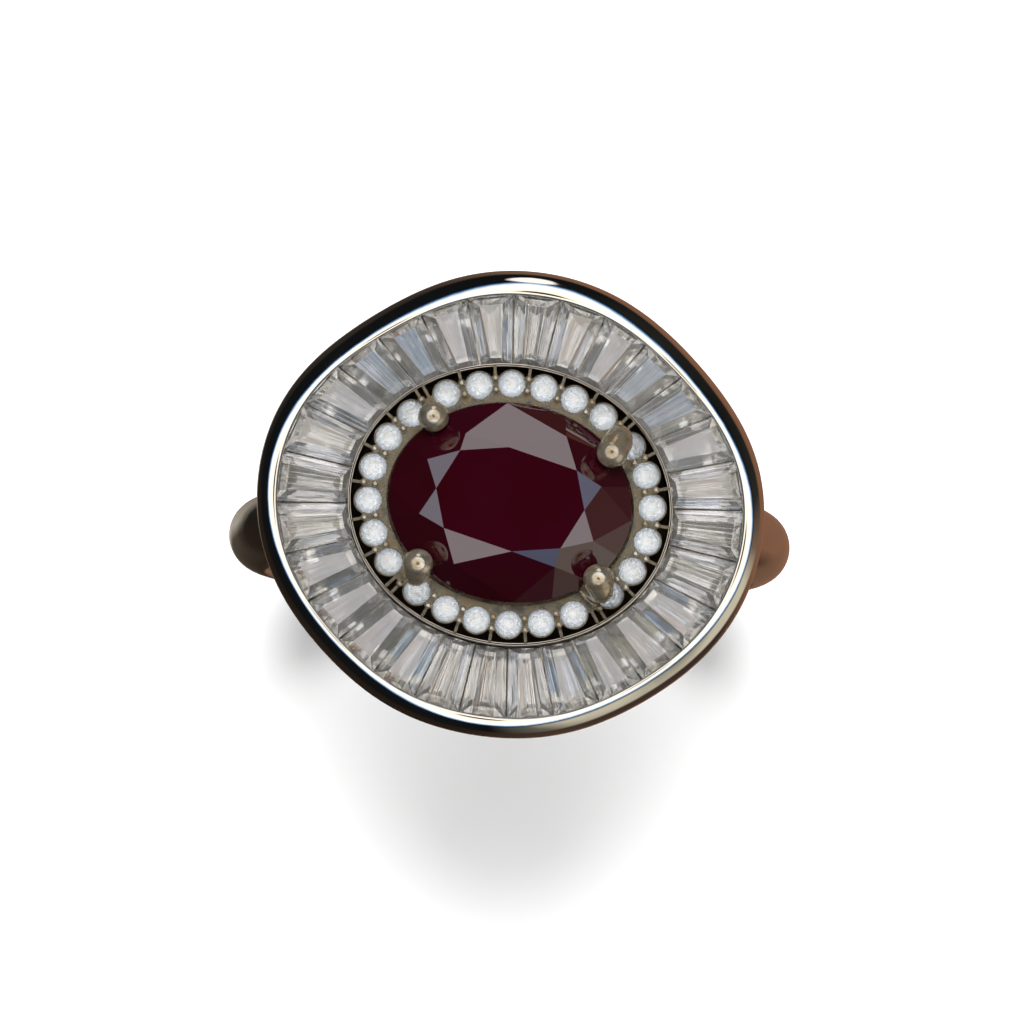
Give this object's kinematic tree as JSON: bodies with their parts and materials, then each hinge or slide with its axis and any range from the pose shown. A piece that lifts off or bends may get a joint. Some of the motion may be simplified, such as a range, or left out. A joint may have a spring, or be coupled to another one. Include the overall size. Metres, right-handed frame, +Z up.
{
  "type": "cocktail ring",
  "caption": "Cocktail ring with an oval red centre stone in claws, a halo of small round stones and a waved skirt of tapered baguettes on a plain band.",
  "frame": {"origin": "centre of the finger hole", "axes": "+Y along the finger, +Z up through the head's middle, +X across the head's longer side"},
  "size_m": [0.0208, 0.0163, 0.0262],
  "materials": {
    "polished_silver": "rhodium-plated silver, mirror polished",
    "inner_silver": "rhodium-plated silver, as cast and tumbled",
    "ruby": "dark red faceted stone, polished",
    "clear_stone": "clear faceted cubic zirconia, polished"
  },
  "bodies": {
    "root": {"shank": "polished_silver", "shoulder_left": "polished_silver", "shoulder_right": "polished_silver", "channel_rim": "polished_silver", "claw_1": "polished_silver", "claw_2": "polished_silver", "claw_3": "polished_silver", "claw_4": "polished_silver", "halo_beads_right": "polished_silver", "halo_beads_top": "polished_silver", "halo_beads_left": "polished_silver", "halo_beads_bottom": "polished_silver", "halo_plate": "polished_silver", "saddle": "inner_silver", "gallery_ring": "inner_silver", "gallery_struts": "inner_silver", "basket_base": "inner_silver", "basket_rail": "inner_silver", "channel_wall": "inner_silver", "channel_bars": "inner_silver", "channel_floor": "inner_silver", "ruby": "ruby", "halo_stones_right": "clear_stone", "halo_stones_top": "clear_stone", "halo_stones_left": "clear_stone", "halo_stones_bottom": "clear_stone", "baguette_01": "clear_stone", "baguette_02": "clear_stone", "baguette_03": "clear_stone", "baguette_04": "clear_stone", "baguette_05": "clear_stone", "baguette_06": "clear_stone", "baguette_07": "clear_stone", "baguette_08": "clear_stone", "baguette_09": "clear_stone", "baguette_10": "clear_stone", "baguette_11": "clear_stone", "baguette_12": "clear_stone", "baguette_13": "clear_stone", "baguette_14": "clear_stone", "baguette_15": "clear_stone", "baguette_16": "clear_stone", "baguette_17": "clear_stone", "baguette_18": "clear_stone", "baguette_19": "clear_stone", "baguette_20": "clear_stone", "baguette_21": "clear_stone", "baguette_22": "clear_stone", "baguette_23": "clear_stone", "baguette_24": "clear_stone", "baguette_25": "clear_stone", "baguette_26": "clear_stone", "baguette_27": "clear_stone", "baguette_28": "clear_stone"}
  },
  "joints": []
}
